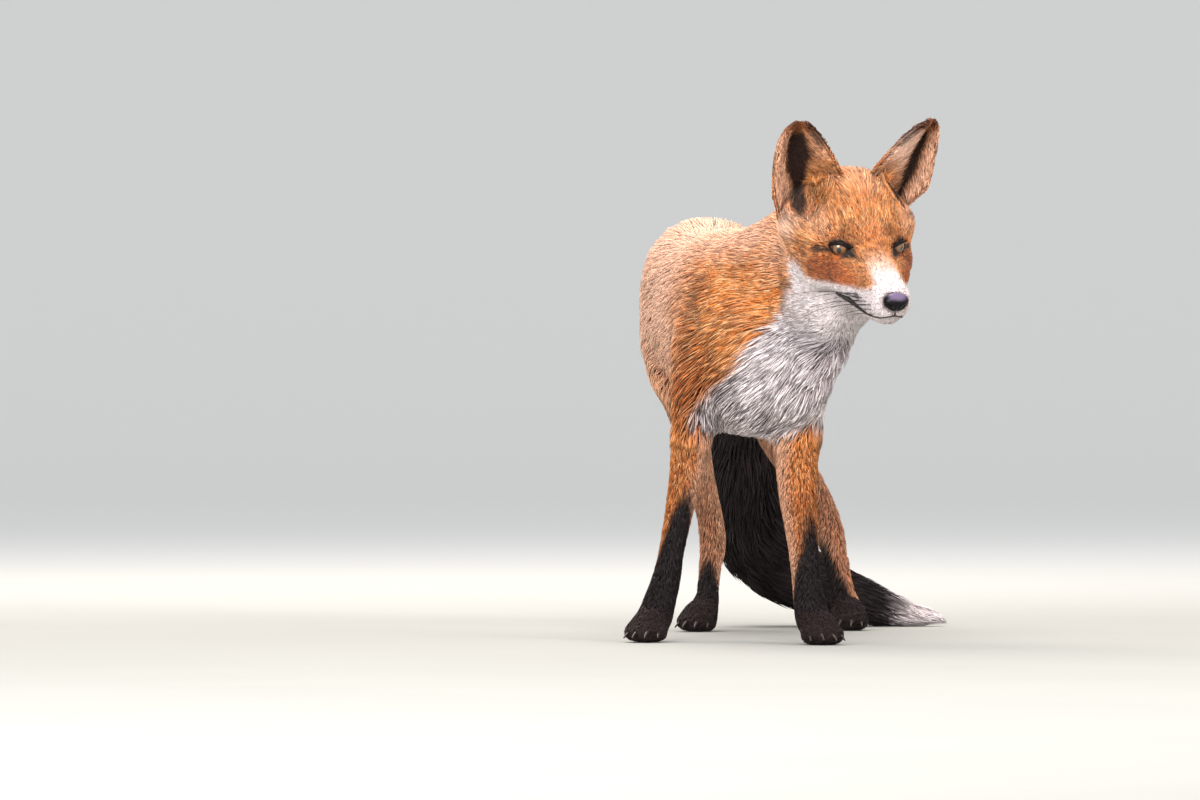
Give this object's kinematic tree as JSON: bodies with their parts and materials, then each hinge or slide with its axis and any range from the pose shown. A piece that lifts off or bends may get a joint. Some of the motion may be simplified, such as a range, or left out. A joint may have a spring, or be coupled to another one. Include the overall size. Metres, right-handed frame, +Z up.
{
  "type": "red fox",
  "caption": "Life-size standing red fox with its head turned, bushy tail resting on the ground, as a still display model.",
  "frame": {"origin": "on the ground below the middle of the fox's bounding box", "axes": "-Y is the way the body faces, +X is the fox's left, +Z is up"},
  "size_m": [0.3222, 0.6842, 0.4762],
  "materials": {
    "coat": "rufous winter fur, overlapping guard hairs",
    "dark_coat": "brown-black fur",
    "nose": "moist pebbled skin",
    "eye": "clear wet cornea over an amber iris",
    "claw": "dark horn"
  },
  "bodies": {
    "root": {"head": "coat", "lower_jaw": "coat", "nose": "nose", "ear_left": "coat", "ear_right": "coat", "eye_left": "eye", "eye_right": "eye", "neck": "coat", "trunk": "coat", "foreleg_left": "coat", "foreleg_right": "coat", "hindleg_left": "coat", "hindleg_right": "coat", "forepaw_left": "dark_coat", "forepaw_right": "dark_coat", "hindpaw_left": "dark_coat", "hindpaw_right": "dark_coat", "tail_root": "dark_coat", "tail_middle": "dark_coat", "tail_tip": "dark_coat", "claw_fore_left_1": "claw", "claw_fore_left_2": "claw", "claw_fore_left_3": "claw", "claw_fore_left_4": "claw", "claw_fore_right_1": "claw", "claw_fore_right_2": "claw", "claw_fore_right_3": "claw", "claw_fore_right_4": "claw", "claw_hind_left_1": "claw", "claw_hind_left_2": "claw", "claw_hind_left_3": "claw", "claw_hind_left_4": "claw", "claw_hind_right_1": "claw", "claw_hind_right_2": "claw", "claw_hind_right_3": "claw", "claw_hind_right_4": "claw"}
  },
  "joints": []
}
